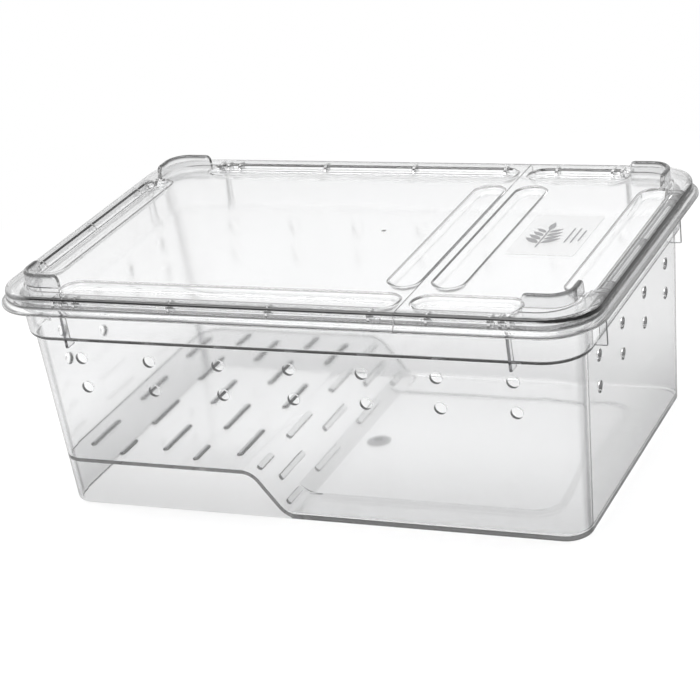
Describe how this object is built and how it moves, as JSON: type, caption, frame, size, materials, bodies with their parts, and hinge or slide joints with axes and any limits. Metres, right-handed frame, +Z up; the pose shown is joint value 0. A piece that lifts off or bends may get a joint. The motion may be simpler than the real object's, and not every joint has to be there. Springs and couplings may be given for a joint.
{
  "type": "plastic pet keeper",
  "caption": "Clear moulded keeper for small animals, with a raised ledge and ramp inside, air holes in the walls, and a large lid beside a smaller feeding lid.",
  "frame": {"origin": "middle of the tub's footprint, on the surface that it stands on", "axes": "+X along the tub from the ledge to the low floor, +Y to the back, +Z up"},
  "size_m": [0.3208, 0.2088, 0.1302],
  "materials": {
    "tub_plastic": "clear moulded plastic, gloss",
    "lid_plastic": "clear moulded plastic, gloss",
    "label_film": "clear film with grey print"
  },
  "bodies": {
    "tub": {"tub": "tub_plastic"},
    "main_lid": {"main_lid": "lid_plastic"},
    "feeding_lid": {"feeding_lid": "lid_plastic", "film_label": "label_film"}
  },
  "joints": [
    {"name": "main_lid_lift", "type": "slide", "parent": "tub", "child": "main_lid", "axis": [0, 0, 1], "range_m": [0, 0.08]},
    {"name": "feeding_lid_lift", "type": "slide", "parent": "tub", "child": "feeding_lid", "axis": [0, 0, 1], "range_m": [0, 0.08]}
  ]
}
